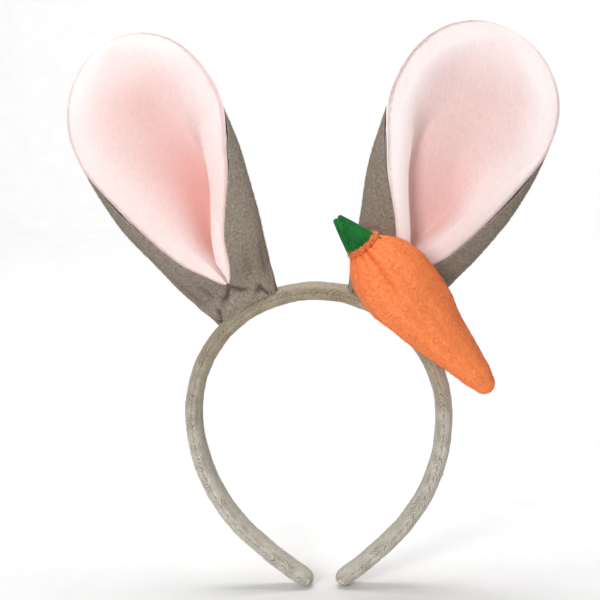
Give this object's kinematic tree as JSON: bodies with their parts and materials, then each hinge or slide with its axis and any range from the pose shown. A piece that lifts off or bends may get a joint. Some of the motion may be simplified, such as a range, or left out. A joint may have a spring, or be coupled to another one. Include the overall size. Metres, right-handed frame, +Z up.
{
  "type": "rabbit ears headband",
  "caption": "Plush-covered alice band with two standing rabbit ears, pink lined, and a small stuffed carrot sewn at one ear.",
  "frame": {"origin": "inner face of the band at the middle of its crown, where the band rests on the head", "axes": "+Z up along the band's middle line, -Y the front, where the ears open and the carrot hangs, +X the wearer's left"},
  "size_m": [0.239, 0.0713, 0.2741],
  "materials": {
    "grey_plush": "short pile plush, soft sheen",
    "pink_plush": "short pile plush, soft sheen",
    "orange_plush": "short pile plush, soft sheen",
    "green_felt": "matte pressed felt",
    "core_plastic": "moulded springy plastic",
    "sponge": "open cell sponge",
    "stiffener_felt": "needled felt interlining",
    "rim_wire": "flat annealed wire",
    "grey_thread": "spun polyester thread",
    "orange_thread": "spun polyester thread",
    "fibre_stuffing": "loose polyester fibre"
  },
  "bodies": {
    "crown": {"band_core_crown": "core_plastic", "band_sponge_crown": "sponge", "band_cover_crown": "grey_plush", "band_seam_stitches_crown": "grey_thread", "left_ear_foot_hem": "grey_plush", "left_ear_foot_stitches": "grey_thread", "right_ear_foot_hem": "grey_plush", "right_ear_foot_stitches": "grey_thread", "carrot_tack_stitches": "orange_thread"},
    "left_arm": {"band_core_left_arm": "core_plastic", "band_sponge_left_arm": "sponge", "band_cover_left_arm": "grey_plush", "band_seam_stitches_left_arm": "grey_thread"},
    "right_arm": {"band_core_right_arm": "core_plastic", "band_sponge_right_arm": "sponge", "band_cover_right_arm": "grey_plush", "band_seam_stitches_right_arm": "grey_thread"},
    "left_ear": {"left_ear_outer": "grey_plush", "left_ear_stiffener": "stiffener_felt", "left_ear_rim_wire": "rim_wire", "left_ear_lining": "pink_plush"},
    "right_ear": {"right_ear_outer": "grey_plush", "right_ear_stiffener": "stiffener_felt", "right_ear_rim_wire": "rim_wire", "right_ear_lining": "pink_plush"},
    "carrot": {"carrot_skin": "orange_plush", "carrot_stuffing": "fibre_stuffing", "carrot_gather_thread": "orange_thread", "carrot_leaf_front": "green_felt", "carrot_leaf_back": "green_felt"}
  },
  "joints": [
    {"name": "left_arm_flex", "type": "hinge", "parent": "crown", "child": "left_arm", "pos_m": [-0.05386, 0, -0.02836], "axis": [0, 1, 0], "range_deg": [-2, 14], "stiffness_Nm_per_rad": 1.2},
    {"name": "right_arm_flex", "type": "hinge", "parent": "crown", "child": "right_arm", "pos_m": [0.05386, 0, -0.02836], "axis": [0, -1, 0], "range_deg": [-2, 14], "stiffness_Nm_per_rad": 1.2},
    {"name": "left_ear_tilt", "type": "hinge", "parent": "crown", "child": "left_ear", "pos_m": [-0.03585, 0, 0.00196], "axis": [0.8545, 0, 0.5195], "range_deg": [-28, 28]},
    {"name": "right_ear_tilt", "type": "hinge", "parent": "crown", "child": "right_ear", "pos_m": [0.03585, 0, 0.00196], "axis": [0.8545, 0, -0.5195], "range_deg": [-28, 4]},
    {"name": "carrot_rock", "type": "hinge", "parent": "crown", "child": "carrot", "pos_m": [0.038, -0.011, 0], "axis": [0, 1, 0], "range_deg": [-10, 10]}
  ]
}
